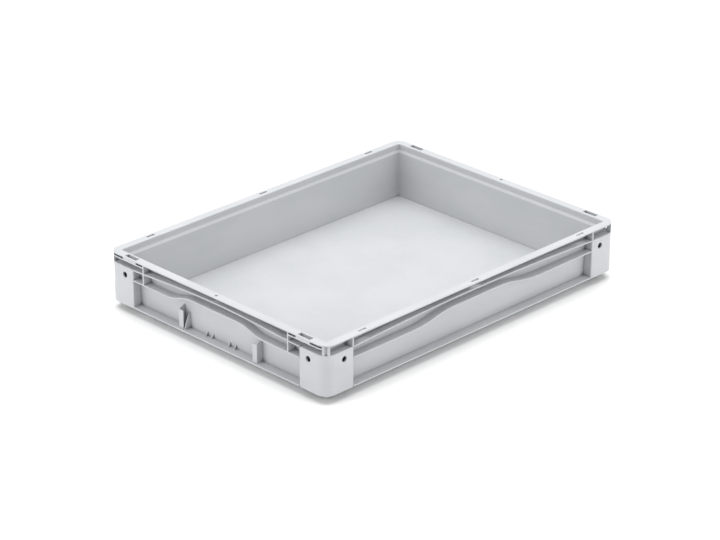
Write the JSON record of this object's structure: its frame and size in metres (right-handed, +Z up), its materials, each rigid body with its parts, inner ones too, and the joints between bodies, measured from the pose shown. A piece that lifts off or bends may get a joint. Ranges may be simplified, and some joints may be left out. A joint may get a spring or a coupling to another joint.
{
  "type": "stacking tray",
  "caption": "Shallow grey plastic stacking tray with a rim flange, hollow corner posts, curved side ribs and a label holder on each short side.",
  "frame": {"origin": "centre of the base, on the ground", "axes": "+Z up, +X along the long sides, +Y along the short sides"},
  "size_m": [0.8, 0.6, 0.12],
  "materials": {
    "grey_polypropylene": "satin"
  },
  "bodies": {
    "root": {"floor_plate": "grey_polypropylene", "foot_front": "grey_polypropylene", "foot_rear": "grey_polypropylene", "foot_left": "grey_polypropylene", "foot_right": "grey_polypropylene", "base_rib_front": "grey_polypropylene", "base_rib_rear": "grey_polypropylene", "base_cross_rib_left": "grey_polypropylene", "base_cross_rib_right": "grey_polypropylene", "wall_front": "grey_polypropylene", "wall_rear": "grey_polypropylene", "wall_left": "grey_polypropylene", "wall_right": "grey_polypropylene", "wall_corner_front_left": "grey_polypropylene", "wall_corner_front_right": "grey_polypropylene", "wall_corner_rear_left": "grey_polypropylene", "wall_corner_rear_right": "grey_polypropylene", "rim_front": "grey_polypropylene", "rim_rear": "grey_polypropylene", "rim_left": "grey_polypropylene", "rim_right": "grey_polypropylene", "rim_corner_front_left": "grey_polypropylene", "rim_corner_front_right": "grey_polypropylene", "rim_corner_rear_left": "grey_polypropylene", "rim_corner_rear_right": "grey_polypropylene", "rim_pocket_front_left": "grey_polypropylene", "rim_pocket_front_right": "grey_polypropylene", "rim_pocket_rear_left": "grey_polypropylene", "rim_pocket_rear_right": "grey_polypropylene", "grip_rib_front": "grey_polypropylene", "grip_rib_rear": "grey_polypropylene", "grip_rib_left": "grey_polypropylene", "grip_rib_right": "grey_polypropylene", "wave_rib_front": "grey_polypropylene", "wave_rib_rear": "grey_polypropylene", "wave_rib_left": "grey_polypropylene", "wave_rib_right": "grey_polypropylene", "base_flange_front": "grey_polypropylene", "base_flange_rear": "grey_polypropylene", "base_flange_left": "grey_polypropylene", "base_flange_right": "grey_polypropylene", "corner_post_front_left": "grey_polypropylene", "corner_post_front_right": "grey_polypropylene", "corner_post_rear_left": "grey_polypropylene", "corner_post_rear_right": "grey_polypropylene", "corner_web_front_left": "grey_polypropylene", "corner_web_front_right": "grey_polypropylene", "corner_web_rear_left": "grey_polypropylene", "corner_web_rear_right": "grey_polypropylene", "pocket_web_front_left": "grey_polypropylene", "pocket_web_front_right": "grey_polypropylene", "pocket_web_rear_left": "grey_polypropylene", "pocket_web_rear_right": "grey_polypropylene", "label_clip_left": "grey_polypropylene", "label_spring_clip_left": "grey_polypropylene", "label_nibs_left": "grey_polypropylene", "label_clip_right": "grey_polypropylene", "label_spring_clip_right": "grey_polypropylene", "label_nibs_right": "grey_polypropylene"}
  },
  "joints": []
}
